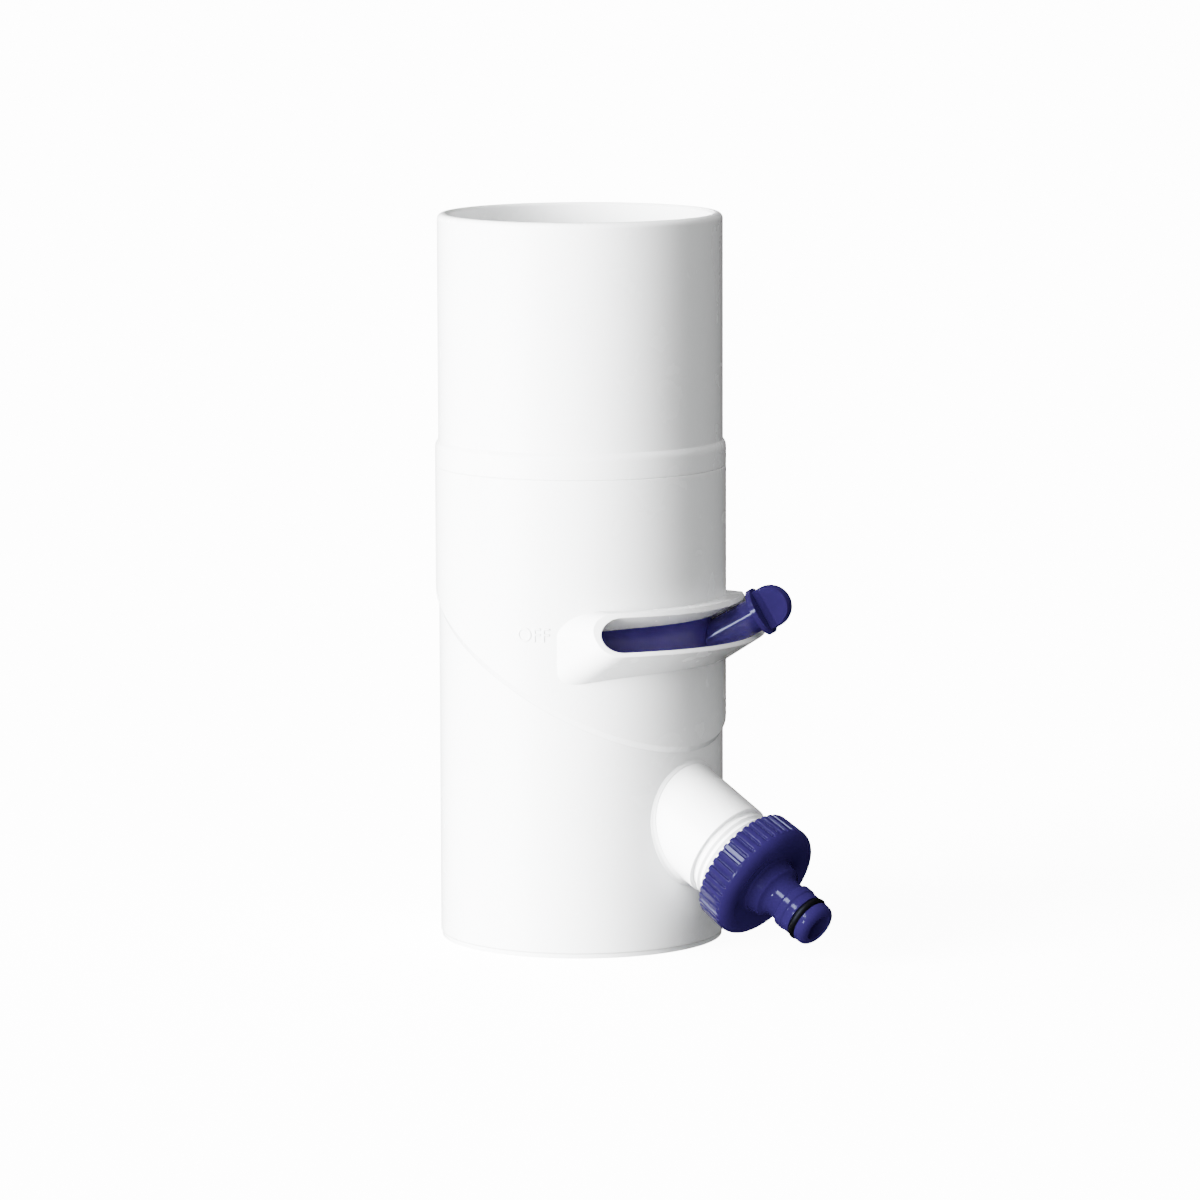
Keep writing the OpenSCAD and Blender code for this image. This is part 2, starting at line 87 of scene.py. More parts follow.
# softboxes: turn from the camera and lift in degrees, width and height in metres, watts, the parts lit
SOFTBOXES = (
    ("glint_left", -34, 42, (0.16, 0.34), 6.0, "pale_parts"),
    ("glint_nozzle", -49.6, 37.7, (0.34, 0.34), 16.0, "dark_parts"),
    ("glint_lever", -40.8, 5.6, (0.22, 0.22), 12.0, "dark_parts"),
)
SOFTBOX_DISTANCE = 1.2
SOFTBOX_COLOUR = (0.60, 0.68, 1.0)
FAR_DISTANCE = 3.0
PRODUCT_MIDDLE = Vector((0, 0, 0.12))
# colour of the room and of the floor's glow
GLOW = (1.0, 1.0, 1.0)


class Value:
    """A socket of a finish's node tree that takes part in ordinary arithmetic."""

    def __init__(self, finish, socket):
        self.finish = finish
        self.socket = socket

    def _maths(self, operation, first, second):
        return self.finish.node("ShaderNodeMath", {"operation": operation}, {0: first, 1: second})

    def __add__(self, other):
        return self._maths("ADD", self, other)

    def __radd__(self, other):
        return self._maths("ADD", other, self)

    def __sub__(self, other):
        return self._maths("SUBTRACT", self, other)

    def __rsub__(self, other):
        return self._maths("SUBTRACT", other, self)

    def __mul__(self, other):
        return self._maths("MULTIPLY", self, other)

    def ramp(self, low, high):
        """This value brought from low..high to 0..1, with soft ends."""
        return self.finish.node(
            "ShaderNodeMapRange", {"interpolation_type": "SMOOTHSTEP"},
            {"Value": self, "From Min": low, "From Max": high})


class Finish:
    """One material, built node by node around a Principled shader."""

    def __init__(self, name):
        self.material = bpy.data.materials.new(name)
        self.material.use_nodes = True
        self.tree = self.material.node_tree
        self.tree.nodes.clear()
        self.place = self.node("ShaderNodeTexCoord", out="Object")

    def node(self, kind, settings=None, values=None, out=0):
        """Adds a node with its settings, then its sockets' values or links, and gives one of its outputs."""
        made = self.tree.nodes.new(kind)
        for name, value in (settings or {}).items():
            setattr(made, name, value)
        for name, value in (values or {}).items():
            if isinstance(value, Value):
                self.tree.links.new(value.socket, made.inputs[name])
            else:
                made.inputs[name].default_value = value
        return Value(self, made.outputs[out]) if made.outputs else None

    def noise(self, grain, stretch=(1, 1, 1), detail=2.0, shift=0.0):
        """Cloudy pattern with patches about grain metres across, drawn out along an axis by stretch. A shift
        gives a pattern that differs from the finish's others."""
        scale = tuple(1 / s for s in stretch)
        spot = self.node("ShaderNodeMapping", None, {
            "Vector": self.place, "Scale": scale, "Location": (shift,) * 3})
        return self.node("ShaderNodeTexNoise", None, {"Vector": spot, "Scale": 1 / grain, "Detail": detail})

    def scratches(self, spacing, turn, width):
        """Thin straight lines spacing metres apart, broken into short runs. Width is a share of spacing."""
        across, along = 1 / spacing, 0.12 / spacing
        spot = self.node("ShaderNodeMapping", None, {
            "Vector": self.place, "Rotation": turn, "Scale": (across, across, along)})
        cells = self.node(
            "ShaderNodeTexVoronoi", {"feature": "DISTANCE_TO_EDGE"}, {"Vector": spot, "Scale": 1.0})
        lines = 1 - cells.ramp(0.0, width)
        runs = self.noise(spacing * 0.8, shift=3.0).ramp(0.58, 0.66)
        return lines * runs

    def mix(self, share, first, second):
        """Colour between first and second."""
        return self.node("ShaderNodeMix", {"data_type": "RGBA"}, {0: share, 6: first, 7: second}, out=2)

    def edges(self, radius):
        """Normal rounded over sharp edges, and a mask of where those edges are."""
        soft = self.node("ShaderNodeBevel", {"samples": 4}, {"Radius": radius})
        flat = self.node("ShaderNodeNewGeometry", out="Normal")
        match = self.node(
            "ShaderNodeVectorMath", {"operation": "DOT_PRODUCT"}, {0: soft, 1: flat}, out="Value")
        return soft, 1 - match.ramp(0.75, 0.995)

    def bump(self, height, distance, normal=None):
        """Normal with fine relief, over a rounded normal if one is given."""
        values = {"Height": height, "Distance": distance}
        if normal:
            values["Normal"] = normal
        return self.node("ShaderNodeBump", None, values)

    def shade(self, **values):
        """Ends the material in a Principled shader."""
        values = {name.replace("_", " "): value for name, value in values.items()}
        surface = self.node("ShaderNodeBsdfPrincipled", None, values)
        self.node("ShaderNodeOutputMaterial", None, {"Surface": surface})
        return self.material


def rgb(colour):
    """The colour as a socket takes it, with a fourth value."""
    return (*colour, 1.0)


def tint(colour, factor):
    """The colour made darker or lighter by a factor."""
    return rgb(min(1.0, c * factor) for c in colour)


def white_moulding(look):
    """Glossy white plastic with a faint skin, a few dusty patches and fine scratches."""
    finish = Finish("white_moulding")
    soft, edge = finish.edges(look.edge_radius)
    cloud = finish.noise(35 * MM, detail=3.0)
    flow = finish.noise(4 * MM, stretch=(1, 1, 9), shift=1.0)
    lines = finish.scratches(9 * MM, (0.3, 0.9, 0.2), 0.010)
    dust = finish.noise(12 * MM, detail=5.0, shift=7.0).ramp(0.52, 0.80)
    colour = finish.mix(cloud.ramp(0.35, 0.7) * 0.5, rgb(look.white), tint(look.white, 0.975))
    colour = finish.mix(dust * (0.35 * look.wear), colour, tint(look.white, 0.86))
    colour = finish.mix(edge * 0.35, colour, tint(look.white, 1.05))
    skin = finish.noise(2.2 * MM, detail=1.0, shift=2.0) * 0.7 + flow * 0.3 - lines * (0.5 * look.wear)
    return finish.shade(
        Base_Color=colour,
        Roughness=look.white_gloss + cloud * 0.05 + flow * 0.04 + lines * (0.25 * look.wear) + dust * 0.10,
        Normal=finish.bump(skin, 0.018 * MM, soft),
        Coat_Weight=0.30 - edge * 0.10,
        Coat_Roughness=0.10,
        IOR=1.5)


def blue_moulding(look, name="blue_moulding", rounded=False):
    """Dark blue plastic, glossy, with fine scratches. A rounded mesh has rounds of its own; any other gets
    soft edges that are worn paler."""
    finish = Finish(name)
    soft, edge = (None, None) if rounded else finish.edges(look.edge_radius)
    cloud = finish.noise(14 * MM, detail=3.0)
    grain = finish.noise(0.9 * MM, detail=2.0, shift=4.0)
    lines = finish.scratches(6 * MM, (0.9, 0.2, 0.5), 0.012)
    colour = finish.mix(cloud.ramp(0.3, 0.75), tint(look.blue, 0.93), tint(look.blue, 1.08))
    if edge:
        colour = finish.mix(edge * (0.30 * look.wear), colour, tint(look.blue, 1.9))
    colour = finish.mix(lines * (0.20 * look.wear), colour, tint(look.blue, 2.4))
    skin = grain * 0.6 + cloud * 0.4 - lines * (0.6 * look.wear)
    relief = 0.004 * MM if rounded else 0.012 * MM
    return finish.shade(
        Base_Color=colour,
        Roughness=look.blue_gloss + cloud * 0.06 + grain * 0.05 + lines * (0.2 * look.wear),
        Normal=finish.bump(skin, relief, soft),
        Coat_Weight=0.05,
        Coat_Roughness=0.04,
        IOR=1.24)


def black_rubber(look):
    """Matt black rubber with a fine grain and a greyish bloom."""
    finish = Finish("black_rubber")
    soft, edge = finish.edges(look.edge_radius * 0.5)
    grain = finish.noise(0.5 * MM, detail=3.0)
    bloom = finish.noise(6 * MM, detail=4.0, shift=5.0).ramp(0.45, 0.8)
    colour = finish.mix(bloom * 0.5, rgb(look.rubber), tint(look.rubber, 2.6))
    return finish.shade(
        Base_Color=finish.mix(edge * 0.2, colour, tint(look.rubber, 3.0)),
        Roughness=0.42 + grain * 0.18 + bloom * 0.12,
        Normal=finish.bump(grain, 0.03 * MM, soft),
        IOR=1.45)


def plain_steel(look):
    """Turned steel with fine lines and a few dull spots."""
    bright, dull, worn = (0.58, 0.57, 0.55), (0.36, 0.34, 0.31), (0.75, 0.75, 0.74)
    finish = Finish("plain_steel")
    soft, edge = finish.edges(look.edge_radius * 0.5)
    turning = finish.noise(0.4 * MM, stretch=(1, 1, 6), detail=2.0)
    spots = finish.noise(3 * MM, detail=4.0, shift=6.0).ramp(0.5, 0.8)
    colour = finish.mix(spots * 0.6, rgb(bright), rgb(dull))
    return finish.shade(
        Base_Color=finish.mix(edge * 0.4, colour, rgb(worn)),
        Roughness=0.26 + turning * 0.18 + spots * 0.2,
        Metallic=1.0 - spots * 0.25,
        Normal=finish.bump(turning, 0.01 * MM, soft))


def studio_floor(stage):
    """Pale matt floor with a barely seen mottle."""
    finish = Finish("studio_floor")
    mottle = finish.noise(400 * MM, detail=3.0)
    return finish.shade(
        Base_Color=finish.mix(mottle, rgb(stage.floor_colour), tint(stage.floor_colour, 0.985)),
        Roughness=0.75 + mottle * 0.1,
        Emission_Color=rgb(GLOW),
        Emission_Strength=stage.backdrop)


def dress(nodes, material):
    """Gives CAD nodes a finish."""
    for name in nodes:
        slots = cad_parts[name].data.materials
        slots.clear()
        slots.append(material)


def mesh_piece(name, mesh, material, body):
    """Adds a mesh as a piece that rides on a body and takes its finish from a slot."""
    piece = bpy.data.objects.new(name, mesh)
    bpy.context.scene.collection.objects.link(piece)
    mesh.materials.clear()
    mesh.materials.append(material)
    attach(piece, body)
    return piece


def letters(word, height, relief):
    """Flat mesh of a word, centred, with rounded upper edges, lying in X and Y."""
    text = bpy.data.curves.new(word, "FONT")
    text.body = word
    text.size = height / CAPITAL
    text.align_x = "CENTER"
    text.align_y = "CENTER"
    text.extrude = relief / 2
    text.bevel_depth = relief * 0.35
    text.bevel_resolution = 2
    text.resolution_u = 8
    holder = bpy.data.objects.new(word, text)
    bpy.context.scene.collection.objects.link(holder)
    depsgraph = bpy.context.evaluated_depsgraph_get()
    made = bpy.data.meshes.new_from_object(holder.evaluated_get(depsgraph))
    bpy.data.objects.remove(holder)
    return made


def wrap(mesh, radius, azimuth, height):
    """Bends a flat mesh round the pipe axis, its own Z pointing away from the axis."""
    for vertex in mesh.vertices:
        turn = azimuth + vertex.co.x / radius
        out = radius + vertex.co.z
        vertex.co = Vector((out * math.sin(turn), -out * math.cos(turn), height + vertex.co.y))
    mesh.update()


def ring_strip(name, sections):
    """Closed mesh through a closed row of closed sections with equal numbers of points."""
    count = len(sections[0])
    points = [point for section in sections for point in section]
    faces = []
    for i in range(len(sections)):
        near, far = i * count, (i + 1) % len(sections) * count
        for k in range(count):
            after = (k + 1) % count
            faces.append((near + k, near + after, far + after, far + k))
    mesh = bpy.data.meshes.new(name)
    mesh.from_pydata(points, [], faces)
    work = bmesh.new()
    work.from_mesh(mesh)
    bmesh.ops.recalc_face_normals(work, faces=work.faces)
    work.to_mesh(mesh)
    work.free()
    for face in mesh.polygons:
        face.use_smooth = True
    return mesh


def branch_axes(branch):
    """Where the branch's axis starts, the way it runs, and the way that stands across it, leaning up."""
    fall = branch.fall
    along = Vector((0, -math.cos(fall), -math.sin(fall)))
    across = Vector((0, -math.sin(fall), math.cos(fall)))
    return Vector((0, 0, branch.level)), along, across


def branch_fillet(branch, steps=160, rounds=10):
    """Sections of the soft corner between the branch and the shell, found by rolling a ball along it."""
    start, along, across = branch_axes(branch)
    ball = branch.fillet
    reach = branch.radius + ball
    # how far the strip's edges lie inside the plastic, and its back behind them
    sunk, back = 0.03 * MM, 0.24 * MM
    sections = []
    for i in range(steps):
        turn = 2 * math.pi * i / steps
        out = Vector((math.cos(turn), 0, 0)) + across * math.sin(turn)
        side = start + out * reach
        # how far along the branch the ball's middle is, where it also touches the shell
        a = along.x ** 2 + along.y ** 2
        b = side.x * along.x + side.y * along.y
        c = side.x ** 2 + side.y ** 2 - (SHELL_RADIUS + ball) ** 2
        middle = side + along * ((-b + math.sqrt(b * b - a * c)) / a)
        level = Vector((middle.x, middle.y, 0)).normalized()
        angle = out.angle(level)
        section = []
        for k in range(rounds + 1):
            share = k / rounds
            way = (-out * math.sin((1 - share) * angle) - level * math.sin(share * angle)) / math.sin(angle)
            section.append(middle + way * ball)
        section[0] -= out * sunk
        section[-1] -= level * sunk
        section.append(middle - (out + level).normalized() * (ball / math.cos(angle / 2) + back))
        sections.append(section)
    return sections


def soft_outline(corners, spacing, fine):
    """Closed row of (along, out) points through corners given as (along, out, radius), each one rounded.
    A run with an end where fine says so is split into parts of about spacing. Any other long run only gets
    a point near each end, which keeps its shading flat."""
    points = []
    for i, (x, y, radius) in enumerate(corners):
        here = Vector((x, y))
        before = (Vector(corners[i - 1][:2]) - here).normalized()
        after = (Vector(corners[(i + 1) % len(corners)][:2]) - here).normalized()
        half = before.angle(after) / 2
        reach = radius / math.tan(half)
        middle = here + (before + after).normalized() * (radius / math.sin(half))
        first, last = here + before * reach - middle, here + after * reach - middle
        turn = first.angle_signed(last)
        arc = 6 if radius > SMALL_ROUND else 2
        points += [middle + Matrix.Rotation(-turn * k / arc, 2) @ first for k in range(arc + 1)]
    dense = []
    for i, point in enumerate(points):
        after = points[(i + 1) % len(points)]
        run = (after - point).length
        shares = (0.0,)
        if fine(*point) or fine(*after):
            parts = max(1, math.ceil(run / spacing))
            shares = (k / parts for k in range(parts))
        elif run > 3 * spacing:
            shares = (0.0, spacing / run, 1 - spacing / run)
        dense += [point.lerp(after, share) for share in shares]
    return dense


def grip_turns(adaptor, walls=13):
    """Turns of the sections round the nut: few on each land between two grooves and many in a groove."""
    pitch = 2 * math.pi / adaptor.grip_count
    shares = (*LAND_SHARES, *(GROOVE_START + GROOVE_SPAN * k / (walls - 1) for k in range(walls)))
    return [pitch * (i + share) for i in range(adaptor.grip_count) for share in shares]


def in_grip(adaptor, along, out):
    """Whether a point of the outline lies where the grip grooves are cut."""
    return out >= adaptor.nut_back_radius - 2 * adaptor.grip_depth and along <= adaptor.grip_end


def grip_cut(adaptor, along, out, turn):
    """How deep a grip groove is at a point of the nut's outside."""
    if not in_grip(adaptor, along, out):
        return 0.0
    pitch = 2 * math.pi / adaptor.grip_count
    side = ((turn / pitch) % 1.0 - GROOVE_MIDDLE) * pitch * out
    half = adaptor.grip_width / 2
    ahead = max(0.0, along - (adaptor.grip_end - half))
    inside = (half - math.hypot(side, ahead)) / (GROOVE_SIDE * adaptor.grip_width)
    share = min(1.0, max(0.0, inside))
    return adaptor.grip_depth * share * share * (3 - 2 * share)


def adaptor_sections(adaptor, branch):
    """Sections of the nut and its nozzle, all round the branch's axis."""
    s = adaptor
    spacing = 0.45 * MM
    edge = 0.3 * MM
    groove_edge = 0.2 * MM
    hub_slope = 1.1 * MM
    collar_radius = s.nozzle_radius + 0.25 * MM
    collar_end = s.collar + 3.2 * MM
    collar_foot = s.collar + 3.7 * MM
    body_radius = s.nozzle_radius - 0.1 * MM
    lip_radius = s.nozzle_radius - 0.2 * MM
    tip_radius = s.nozzle_radius - 0.3 * MM
    funnel_length = 5 * MM
    funnel_radius = s.bore_radius + 4 * MM
    corners = [
        (s.nut_back, s.thread_radius, edge),
        (s.nut_back, s.nut_back_radius, 0.5 * MM),
        (s.nut_front, s.nut_front_radius, s.nut_corner),
        (s.nut_front, s.dish_radius, 1.0 * MM),
        (s.nut_front - s.dish, s.hub_radius, 0.7 * MM),
        (s.hub_end, s.hub_radius - hub_slope, 0.5 * MM),
        (s.hub_end + hub_slope, s.neck_radius, 2.6 * MM),
        (s.collar, s.neck_radius, edge),
        (s.collar, collar_radius, 0.8 * MM),
        (collar_end, collar_radius, edge),
        (collar_foot, body_radius, edge),
        (s.ring - s.ring_half, body_radius, 0.15 * MM),
        (s.ring - s.ring_half, s.ring_floor, groove_edge),
        (s.ring + s.ring_half, s.ring_floor, groove_edge),
        (s.ring + s.ring_half, lip_radius, 0.25 * MM),
        (s.tip, tip_radius, 2.5 * MM),
        (s.tip, s.bore_radius, 0.4 * MM),
        (s.shelf + funnel_length, s.bore_radius, 0.5 * MM),
        (s.shelf, funnel_radius, edge),
        (s.shelf, s.thread_radius, edge),
    ]
    outline = soft_outline(corners, spacing, lambda along, out: in_grip(adaptor, along, out))
    start, way, across = branch_axes(branch)
    sections = []
    for turn in grip_turns(adaptor):
        out = Vector((math.cos(turn), 0, 0)) + across * math.sin(turn)
        sections.append([
            start + way * p.x + out * (p.y - grip_cut(adaptor, p.x, p.y, turn)) for p in outline])
    return sections


def length(name, description, millimetres):
    """A size that a user may change."""
    return bpy.props.FloatProperty(
        name=name, description=description, default=millimetres * MM, min=0, precision=5, unit="LENGTH")


class DiverterLook(bpy.types.PropertyGroup):
    """Colours and surface of the mouldings."""

    white: bpy.props.FloatVectorProperty(
        name="White", description="Colour of the shell", subtype="COLOR", size=3, min=0, max=1,
        default=(0.86, 0.87, 0.875))
    blue: bpy.props.FloatVectorProperty(
        name="Blue", description="Colour of the rotor, lever and nut", subtype="COLOR", size=3, min=0, max=1,
        default=(0.038, 0.0235, 0.150))
    rubber: bpy.props.FloatVectorProperty(
        name="Rubber", description="Colour of the seal rings", subtype="COLOR", size=3, min=0, max=1,
        default=(0.0035, 0.0035, 0.0045))
    white_gloss: bpy.props.FloatProperty(
        name="White roughness", description="Roughness of the white plastic", default=0.20, min=0, max=1)
    blue_gloss: bpy.props.FloatProperty(
        name="Blue roughness", description="Roughness of the blue plastic", default=0.07, min=0, max=1)
    edge_radius: length("Edge radius", "Rounding of moulded edges", 0.35)
    wear: bpy.props.FloatProperty(
        name="Wear", description="How scratched and dusty the plastic is", default=0.5, min=0, max=1)


class DiverterMarks(bpy.types.PropertyGroup):
    """Raised words at the two ends of the lever's slot."""

    height: length("Letter height", "Height of a letter", 4.9)
    relief: length("Relief", "How far a letter stands proud", 0.18)
    level: length("Level", "Height of the words above the bottom rim", 110.1)
    azimuth: bpy.props.FloatProperty(
        name="Azimuth", description="Turn of a word from the outlet", default=math.radians(69.5),
        unit="ROTATION")


class DiverterBranch(bpy.types.PropertyGroup):
    """The corner where the branch leaves the shell."""

    level: length("Level", "Height at which the branch's axis meets the pipe axis", 72.59)
    radius: length("Radius", "Outer radius of the branch", 17.2)
    fillet: length("Fillet", "Radius of the soft corner at the root of the branch", 1.8)
    fall: bpy.props.FloatProperty(
        name="Fall", description="Slope of the branch below the horizontal", default=math.radians(30),
        unit="ROTATION")


class DiverterAdaptor(bpy.types.PropertyGroup):
    """Nut and click-on nozzle; stations are measured along the branch's axis from the pipe axis."""

    nut_back: length("Nut back", "Station of the nut's back edge", 81.6)
    nut_front: length("Nut front", "Station of the nut's front face", 94.8)
    nut_back_radius: length("Nut back radius", "Radius of the nut at its back edge", 20.8)
    nut_front_radius: length("Nut front radius", "Radius that the nut reaches towards its front", 21.4)
    nut_corner: length("Nut corner", "Rounding of the nut's front corner", 3.7)
    dish_radius: length("Dish radius", "Outer radius of the dish in the nut's front", 16.6)
    dish: length("Dish depth", "Depth of the dish at the hub", 1.1)
    hub_radius: length("Hub radius", "Radius of the hub where it leaves the dish", 10.6)
    hub_end: length("Hub end", "Station at which the hub turns into the neck", 98.3)
    neck_radius: length("Neck radius", "Radius of the nozzle's neck", 7.2)
    collar: length("Collar", "Station at which the nozzle's collar starts", 104.9)
    nozzle_radius: length("Nozzle radius", "Radius of the nozzle", 7.95)
    ring: length("Ring", "Station of the nozzle's seal ring", 112.93)
    ring_half: length("Ring groove", "Half the width of the ring's groove", 1.4)
    ring_floor: length("Ring floor", "Radius of the ring's groove", 5.7)
    tip: length("Tip", "Station of the nozzle's tip", 118.53)
    bore_radius: length("Bore radius", "Radius of the nozzle's bore", 4.55)
    shelf: length("Shelf", "Station of the shelf that the flat washer lies on", 88.13)
    thread_radius: length("Thread radius", "Inner radius of the nut", 16.9)
    grip_count: bpy.props.IntProperty(name="Grooves", description="Number of grip grooves", default=42, min=3)
    grip_width: length("Groove width", "Width of a grip groove", 1.4)
    grip_depth: length("Groove depth", "Depth of a grip groove", 1.0)
    grip_end: length("Groove end", "Station of a grip groove's front end", 91.4)


class DiverterStage(bpy.types.PropertyGroup):
    """Floor, lights and camera."""

    floor_colour: bpy.props.FloatVectorProperty(
        name="Floor", description="Colour of the floor", subtype="COLOR", size=3, min=0, max=1,
        default=(0.90, 0.90, 0.90))
    floor_size: bpy.props.FloatProperty(
        name="Floor size", description="Side of the floor", default=30.0, min=1, unit="LENGTH")
    azimuth: bpy.props.FloatProperty(
        name="View azimuth", description="Turn of the camera round the pipe axis from the outlet",
        default=math.radians(-50.5), unit="ROTATION")
    distance: bpy.props.FloatProperty(
        name="Distance", description="Level distance of the camera from the pipe axis", default=2.113,
        min=0.3, unit="LENGTH")
    height: bpy.props.FloatProperty(
        name="Camera height", description="Height of the camera above the floor", default=0.4091,
        unit="LENGTH")
    pitch: bpy.props.FloatProperty(
        name="Pitch", description="How far the camera looks down", default=math.radians(7.906),
        unit="ROTATION")
    yaw: bpy.props.FloatProperty(
        name="Yaw", description="How far the camera looks right of the axis", default=math.radians(0.175),
        unit="ROTATION")
    roll: bpy.props.FloatProperty(
        name="Roll", description="Tilt of the camera", default=math.radians(-0.1745), unit="ROTATION")
    lens: bpy.props.FloatProperty(
        name="Lens", description="Focal length on a 36 mm sensor, in millimetres", default=186.48, min=20)
    key_light: bpy.props.FloatProperty(
        name="Key light", description="Strength of the low light from the left", default=44.0, min=0)
    wide_light: bpy.props.FloatProperty(
        name="Wide light", description="Strength of the wide, even light from the left", default=4.2, min=0)
    dark_key_light: bpy.props.FloatProperty(
        name="Key light, dark parts", description="Strength of the low light from the left on the dark parts",
        default=2.6, min=0)
    dark_wide_light: bpy.props.FloatProperty(
        name="Wide light, dark parts", description="Strength of the wide, even light on the dark parts",
        default=3.3, min=0)
    back_light: bpy.props.FloatProperty(
        name="Back light", description="Strength of the wide light on the far side", default=2.2, min=0)
    glint_light: bpy.props.FloatProperty(
        name="Glints", description="Share of full power of the small lights that glint on the mouldings",
        default=1.0, min=0)
    backdrop: bpy.props.FloatProperty(
        name="Backdrop", description="Brightness of the room and the glow of the floor", default=11.0, min=0)


class DIVERTER_OT_shell(bpy.types.Operator):
    """Finish the white shell"""

    bl_idname = "diverter.shell"
    bl_label = "White shell"

    def execute(self, context):
        dress(WHITE_NODES, white_moulding(context.scene.diverter_look))
        return {"FINISHED"}


class DIVERTER_OT_blue_parts(bpy.types.Operator):
    """Finish the rotor, the lever and the knob"""

    bl_idname = "diverter.blue_parts"
    bl_label = "Blue parts"

    def execute(self, context):
        dress(BLUE_NODES, blue_moulding(context.scene.diverter_look))
        return {"FINISHED"}


class DIVERTER_OT_seals(bpy.types.Operator):
    """Finish the rubber rings and the screw"""

    bl_idname = "diverter.seals"
    bl_label = "Seals and screw"

    def execute(self, context):
        dress(RUBBER_NODES, black_rubber(context.scene.diverter_look))
        dress(STEEL_NODES, plain_steel(context.scene.diverter_look))
        return {"FINISHED"}


class DIVERTER_OT_marks(bpy.types.Operator):
    """Raise the words at the ends of the lever's slot"""

    bl_idname = "diverter.marks"
    bl_label = "Slot marks"

    def execute(self, context):
        marks = context.scene.diverter_marks
        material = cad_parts["main_body"].data.materials[0]
        for word, side in (("OFF", -1), ("ON", 1)):
            mesh = letters(word, marks.height, marks.relief)
            wrap(mesh, BODY_RADIUS + marks.relief * 0.3, side * marks.azimuth, marks.level)
            mesh_piece("mark_" + word.lower(), mesh, material, "housing")
        return {"FINISHED"}


class DIVERTER_OT_branch_root(bpy.types.Operator):
    """Round the corner between the branch and the shell"""

    bl_idname = "diverter.branch_root"
    bl_label = "Branch root"

    def execute(self, context):
        mesh = ring_strip("branch_root", branch_fillet(context.scene.diverter_branch))
        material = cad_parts["outlet_body"].data.materials[0]
        mesh_piece("branch_root", mesh, material, "housing")
        return {"FINISHED"}


class DIVERTER_OT_hose_adaptor(bpy.types.Operator):
    """Turn the nut and nozzle with their rounded grip grooves"""

    bl_idname = "diverter.hose_adaptor"
    bl_label = "Hose adaptor"

    def execute(self, context):
        scene = context.scene
        mesh = ring_strip("hose_fitting", adaptor_sections(scene.diverter_adaptor, scene.diverter_branch))
        material = blue_moulding(scene.diverter_look, "blue_turning", rounded=True)
        piece = mesh_piece("hose_fitting", mesh, material, "housing")
        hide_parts("hose_adaptor")
        return {"FINISHED"}


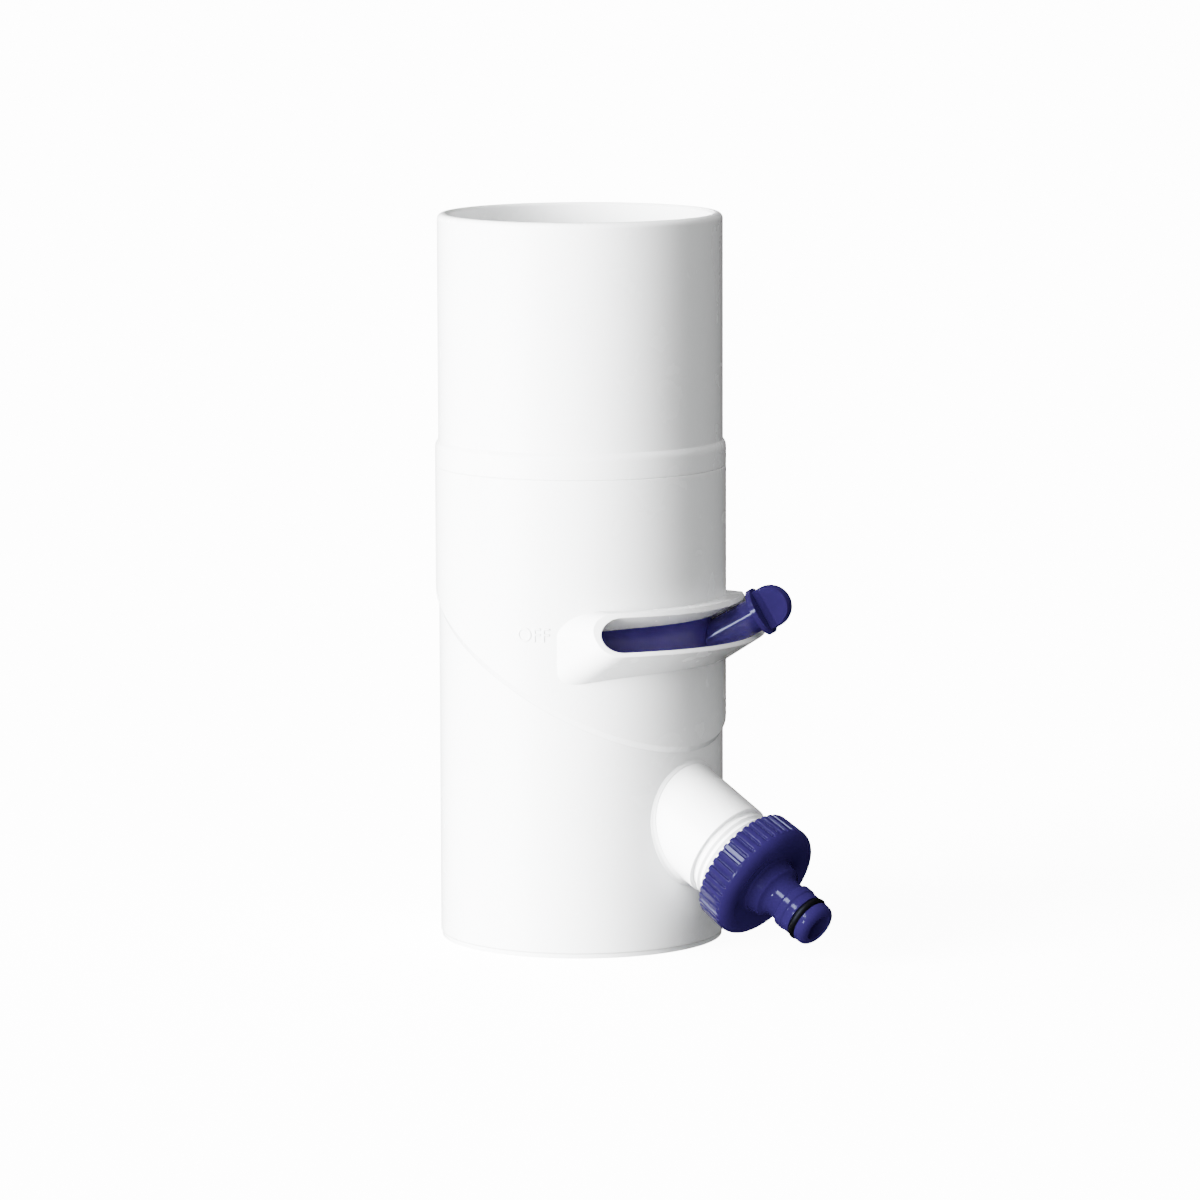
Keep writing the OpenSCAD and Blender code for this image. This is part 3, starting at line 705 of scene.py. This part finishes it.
class DIVERTER_OT_stage(bpy.types.Operator):
    """Set up the floor, the lights and the camera"""

    bl_idname = "diverter.stage"
    bl_label = "Stage"

    def execute(self, context):
        stage = context.scene.diverter_stage
        self.floor(context, stage)
        self.room(context, stage)
        self.lights(context, stage)
        self.camera(context, stage)
        return {"FINISHED"}

    def floor(self, context, stage):
        """Lays the floor, which takes a soft shade from the product and throws no light back at it."""
        half = stage.floor_size / 2
        mesh = bpy.data.meshes.new("floor")
        corners = [(-half, -half, 0), (half, -half, 0), (half, half, 0), (-half, half, 0)]
        mesh.from_pydata(corners, [], [(0, 1, 2, 3)])
        mesh.materials.append(studio_floor(stage))
        floor = bpy.data.objects.new("floor", mesh)
        floor.visible_diffuse = False
        floor.visible_glossy = False
        floor.visible_shadow = False
        context.scene.collection.objects.link(floor)

    def room(self, context, stage):
        """Sets the pale room that the camera sees and that lights nothing."""
        world = bpy.data.worlds.new("room")
        world.use_nodes = True
        background = world.node_tree.nodes["Background"]
        background.inputs["Color"].default_value = rgb(GLOW)
        background.inputs["Strength"].default_value = stage.backdrop
        for ray in ("diffuse", "glossy", "transmission"):
            setattr(world.cycles_visibility, ray, False)
        context.scene.world = world

    def lights(self, context, stage):
        """Sets up the lights, each kept to the pale parts, to the dark parts or to none."""
        pale = [*WHITE_NODES, "mark_off", "mark_on", "branch_root", "floor"]
        dark = [*BLUE_NODES, *RUBBER_NODES, *STEEL_NODES, "hose_fitting"]
        groups = {"pale_parts": self.group("pale_parts", pale), "dark_parts": self.group("dark_parts", dark)}
        for name, turn, lift, spread, strength, parts in FAR_LIGHTS:
            light = bpy.data.lights.new(name, "SUN")
            light.energy = getattr(stage, strength)
            light.angle = math.radians(spread)
            holder = self.place_light(
                context, light, stage.azimuth, turn, lift, FAR_DISTANCE, groups.get(parts))
            holder.visible_glossy = False
        for name, turn, lift, size, power, parts in SOFTBOXES:
            light = bpy.data.lights.new(name, "AREA")
            light.shape = "RECTANGLE"
            light.size, light.size_y = size
            light.energy = power * stage.glint_light
            light.color = SOFTBOX_COLOUR
            holder = self.place_light(
                context, light, stage.azimuth, turn, lift, SOFTBOX_DISTANCE, groups.get(parts))
            holder.visible_diffuse = False

    def group(self, name, parts):
        """Gathers parts that a light can be kept to."""
        made = bpy.data.collections.new(name)
        for part in parts:
            made.objects.link(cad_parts.get(part) or bpy.data.objects[part])
        return made

    def place_light(self, context, light, azimuth, turn, lift, distance, parts):
        """Puts a light at a distance from the product's middle, which it faces. The turn is from the camera
        and the lift from the level, in degrees. With parts it lights only those."""
        azimuth, lift = azimuth + math.radians(turn), math.radians(lift)
        level = math.cos(lift) * distance
        way = Vector((math.sin(azimuth) * level, -math.cos(azimuth) * level, math.sin(lift) * distance))
        holder = bpy.data.objects.new(light.name, light)
        holder.location = PRODUCT_MIDDLE + way
        holder.rotation_mode = "QUATERNION"
        holder.rotation_quaternion = (-way).to_track_quat("-Z", "Y")
        if parts:
            holder.light_linking.receiver_collection = parts
        context.scene.collection.objects.link(holder)
        return holder

    def camera(self, context, stage):
        """Puts the camera where the photograph was taken from."""
        data = bpy.data.cameras.new("camera")
        data.sensor_width = 36.0
        data.lens = stage.lens
        data.clip_start, data.clip_end = 0.1, 50.0
        holder = bpy.data.objects.new("camera", data)
        holder.matrix_world = (
            Matrix.Rotation(stage.azimuth, 4, "Z")
            @ Matrix.Translation((0, -stage.distance, stage.height))
            @ Matrix.Rotation(-stage.yaw, 4, "Z")
            @ Matrix.Rotation(math.pi / 2 - stage.pitch, 4, "X")
            @ Matrix.Rotation(stage.roll, 4, "Z"))
        context.scene.collection.objects.link(holder)
        context.scene.camera = holder


class DIVERTER_PT_panel(bpy.types.Panel):
    """Sizes, colours and steps of the diverter's looks"""

    bl_idname = "DIVERTER_PT_panel"
    bl_label = "Rainwater diverter"
    bl_space_type = "VIEW_3D"
    bl_region_type = "UI"
    bl_category = "Diverter"

    def draw(self, context):
        for group in GROUPS:
            settings = getattr(context.scene, group)
            box = self.layout.box()
            for name in settings.__annotations__:
                box.prop(settings, name)
        for step in STEPS:
            self.layout.operator(step.bl_idname)


GROUPS = {
    "diverter_look": DiverterLook,
    "diverter_marks": DiverterMarks,
    "diverter_branch": DiverterBranch,
    "diverter_adaptor": DiverterAdaptor,
    "diverter_stage": DiverterStage,
}
STEPS = (
    DIVERTER_OT_shell,
    DIVERTER_OT_blue_parts,
    DIVERTER_OT_seals,
    DIVERTER_OT_marks,
    DIVERTER_OT_branch_root,
    DIVERTER_OT_hose_adaptor,
    DIVERTER_OT_stage,
)


def register():
    for made in (*GROUPS.values(), *STEPS, DIVERTER_PT_panel):
        bpy.utils.register_class(made)
    for name, group in GROUPS.items():
        setattr(bpy.types.Scene, name, bpy.props.PointerProperty(type=group))


def unregister():
    for name in GROUPS:
        delattr(bpy.types.Scene, name)
    for made in reversed((*GROUPS.values(), *STEPS, DIVERTER_PT_panel)):
        bpy.utils.unregister_class(made)


def main():
    register()
    for step in STEPS:
        group, name = step.bl_idname.split(".")
        getattr(getattr(bpy.ops, group), name)()


if __name__ == "__main__":
    main()
